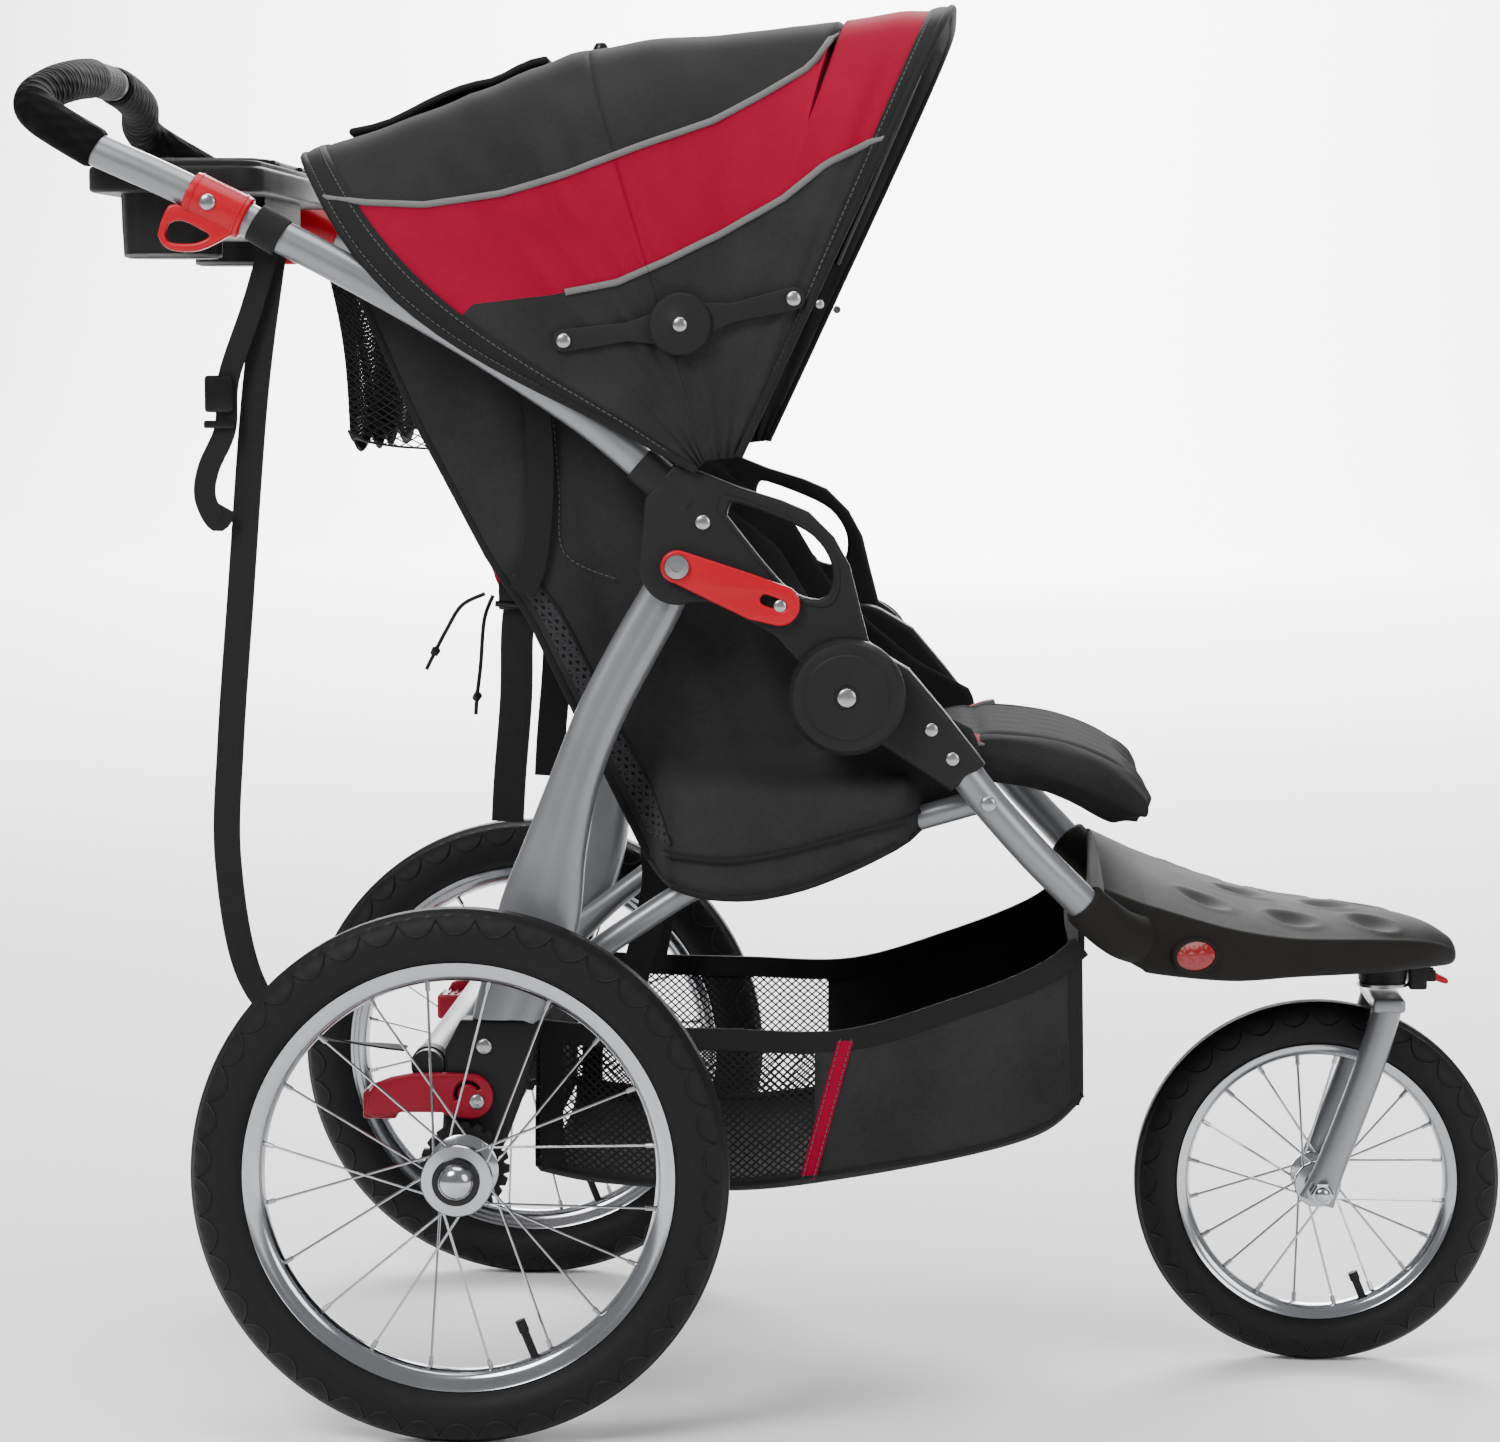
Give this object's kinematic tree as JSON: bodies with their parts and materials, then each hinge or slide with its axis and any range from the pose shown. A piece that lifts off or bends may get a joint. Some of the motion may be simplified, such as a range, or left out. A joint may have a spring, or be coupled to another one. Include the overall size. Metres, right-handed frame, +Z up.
{
  "type": "jogging stroller",
  "caption": "Folding jogging stroller with spoked air-tyred wheels, silver tube frame, reclining fabric seat, red hood, parent tray and under-seat basket.",
  "frame": {"origin": "on the floor, under the middle of the overall length and width", "axes": "+X towards the front wheel, +Y to the left of the person pushing, +Z up"},
  "size_m": [1.1545, 0.657, 1.085],
  "materials": {
    "silver_tube": "satin silver",
    "black_plastic": "satin",
    "footrest_plastic": "satin, dark warm grey",
    "red_plastic": "gloss",
    "grip_foam": "matte foam",
    "bright_metal": "bright",
    "tyre_rubber": "matte",
    "reflector_red": "clear gloss over prisms",
    "charcoal_fabric": "woven",
    "crimson_fabric": "woven",
    "bow_wire": "satin"
  },
  "bodies": {
    "front_frame": {"front_tube_l": "silver_tube", "front_tube_r": "silver_tube", "hub_sleeve_l": "black_plastic", "hub_sleeve_r": "black_plastic", "footrest": "footrest_plastic", "reflector_l": "reflector_red", "reflector_r": "reflector_red", "steering_head": "black_plastic", "swivel_lock_bracket": "black_plastic", "calf_pad": "charcoal_fabric", "basket": "charcoal_fabric"},
    "fork": {"fork": "silver_tube", "front_axle": "bright_metal"},
    "front_wheel": {"front_wheel": "bright_metal", "front_tyre": "tyre_rubber"},
    "swivel_lever": {"swivel_lock_lever": "red_plastic"},
    "seat_frame": {"link_tube_l": "silver_tube", "link_tube_r": "silver_tube", "seat_bar_front": "silver_tube", "seat_bar_rear": "silver_tube", "seat_base": "charcoal_fabric"},
    "upper_frame": {"handlebar": "silver_tube", "grip_l": "grip_foam", "grip_r": "grip_foam", "armrest_bracket_l": "black_plastic", "armrest_bracket_r": "black_plastic", "hub_disc_l": "black_plastic", "hub_disc_r": "black_plastic", "parent_tray": "black_plastic", "hood_bow_rear": "bow_wire", "hood_rear": "crimson_fabric", "side_panel_l": "charcoal_fabric", "side_panel_r": "charcoal_fabric", "tether_strap": "charcoal_fabric"},
    "tray_lid": {"tray_lid": "black_plastic"},
    "release_l": {"fold_release_l": "red_plastic"},
    "release_r": {"fold_release_r": "red_plastic"},
    "latch_l": {"frame_latch_l": "red_plastic"},
    "latch_r": {"frame_latch_r": "red_plastic"},
    "seat_back": {"seat_back": "charcoal_fabric"},
    "hood_mid": {"hood_bow_mid": "bow_wire"},
    "hood_front": {"hood_bow_front": "bow_wire", "hood_front": "crimson_fabric"},
    "strut_rear": {"hood_strut_rear_l": "black_plastic", "hood_strut_rear_r": "black_plastic"},
    "strut_front": {"hood_strut_front_l": "black_plastic", "hood_strut_front_r": "black_plastic"},
    "rear_legs": {"rear_leg_l": "silver_tube", "rear_leg_r": "silver_tube", "axle_bracket_l": "black_plastic", "axle_bracket_r": "black_plastic", "rear_cross_tube": "silver_tube", "rear_axle_l": "bright_metal", "rear_axle_r": "bright_metal"},
    "rear_wheel_l": {"rear_wheel_l": "bright_metal", "rear_tyre_l": "tyre_rubber"},
    "rear_wheel_r": {"rear_wheel_r": "bright_metal", "rear_tyre_r": "tyre_rubber"},
    "pedal_l": {"brake_pedal_l": "red_plastic"},
    "pedal_r": {"brake_pedal_r": "red_plastic"}
  },
  "joints": [
    {"name": "fold", "type": "hinge", "parent": "front_frame", "child": "upper_frame", "pos_m": [0.0543, 0, 0.561], "axis": [0, 1, 0], "range_deg": [0, 98], "deforming": ["side_panel_l", "side_panel_r", "tether_strap"]},
    {"name": "leg_fold", "type": "hinge", "parent": "upper_frame", "child": "rear_legs", "pos_m": [-0.0727, 0, 0.658], "axis": [0, -1, 0], "range_deg": [0, 33]},
    {"name": "seat_fold", "type": "hinge", "parent": "front_frame", "child": "seat_frame", "pos_m": [0.1603, 0, 0.479], "axis": [0, 1, 0], "range_deg": [0, 50]},
    {"name": "front_swivel", "type": "hinge", "parent": "front_frame", "child": "fork", "pos_m": [0.4823, 0, 0.298], "axis": [0, 0, 1], "continuous": true},
    {"name": "front_spin", "type": "hinge", "parent": "fork", "child": "front_wheel", "pos_m": [0.4303, 0, 0.147], "axis": [0, 1, 0], "continuous": true},
    {"name": "swivel_lock", "type": "hinge", "parent": "front_frame", "child": "swivel_lever", "pos_m": [0.5213, 0, 0.3155], "axis": [0, 1, 0], "range_deg": [0, 50]},
    {"name": "rear_spin_l", "type": "hinge", "parent": "rear_legs", "child": "rear_wheel_l", "pos_m": [-0.2347, 0.29, 0.2025], "axis": [0, 1, 0], "continuous": true},
    {"name": "rear_spin_r", "type": "hinge", "parent": "rear_legs", "child": "rear_wheel_r", "pos_m": [-0.2347, -0.29, 0.2025], "axis": [0, 1, 0], "continuous": true},
    {"name": "brake_l", "type": "hinge", "parent": "rear_legs", "child": "pedal_l", "pos_m": [-0.2257, 0.2515, 0.255], "axis": [0, -1, 0], "range_deg": [0, 20]},
    {"name": "brake_r", "type": "hinge", "parent": "rear_legs", "child": "pedal_r", "pos_m": [-0.2257, -0.2515, 0.255], "axis": [0, -1, 0], "range_deg": [0, 20]},
    {"name": "latch_l", "type": "hinge", "parent": "upper_frame", "child": "latch_l", "pos_m": [-0.0727, 0.2597, 0.658], "axis": [0, -1, 0], "range_deg": [0, 35]},
    {"name": "latch_r", "type": "hinge", "parent": "upper_frame", "child": "latch_r", "pos_m": [-0.0727, -0.2597, 0.658], "axis": [0, -1, 0], "range_deg": [0, 35]},
    {"name": "release_l", "type": "slide", "parent": "upper_frame", "child": "release_l", "axis": [-0.9007, 0, 0.4345], "range_m": [0, 0.012]},
    {"name": "release_r", "type": "slide", "parent": "upper_frame", "child": "release_r", "axis": [-0.9007, 0, 0.4345], "range_m": [0, 0.012]},
    {"name": "lid", "type": "hinge", "parent": "upper_frame", "child": "tray_lid", "pos_m": [-0.4027, 0, 0.965], "axis": [0, 1, 0], "range_deg": [0, 90]},
    {"name": "recline", "type": "hinge", "parent": "upper_frame", "child": "seat_back", "pos_m": [-0.0887, 0, 0.437], "axis": [0, -1, 0], "range_deg": [0, 35]},
    {"name": "hood_close", "type": "hinge", "parent": "upper_frame", "child": "hood_mid", "pos_m": [-0.0517, 0, 0.736], "axis": [0, -1, 0], "range_deg": [0, 26], "deforming": ["hood_rear"]},
    {"name": "hood_front_close", "type": "hinge", "parent": "hood_mid", "child": "hood_front", "pos_m": [-0.0517, 0, 0.736], "axis": [0, -1, 0], "range_deg": [0, 36.5], "deforming": ["hood_front"]},
    {"name": "strut_rear", "type": "hinge", "parent": "upper_frame", "child": "strut_rear", "pos_m": [-0.1567, 0, 0.826], "axis": [0, 1, 0], "range_deg": [0, 42]},
    {"name": "strut_front", "type": "hinge", "parent": "hood_front", "child": "strut_front", "pos_m": [0.0143, 0, 0.857], "axis": [0, -1, 0], "range_deg": [0, 46.1]}
  ],
  "couplings": [
    {"joint": "leg_fold", "follows": "fold", "ratio": 0.335},
    {"joint": "seat_fold", "follows": "fold", "ratio": 0.51},
    {"joint": "hood_front_close", "follows": "hood_close", "ratio": 1.4},
    {"joint": "strut_rear", "follows": "hood_close", "ratio": 1.613},
    {"joint": "strut_front", "follows": "hood_close", "ratio": 1.769}
  ]
}
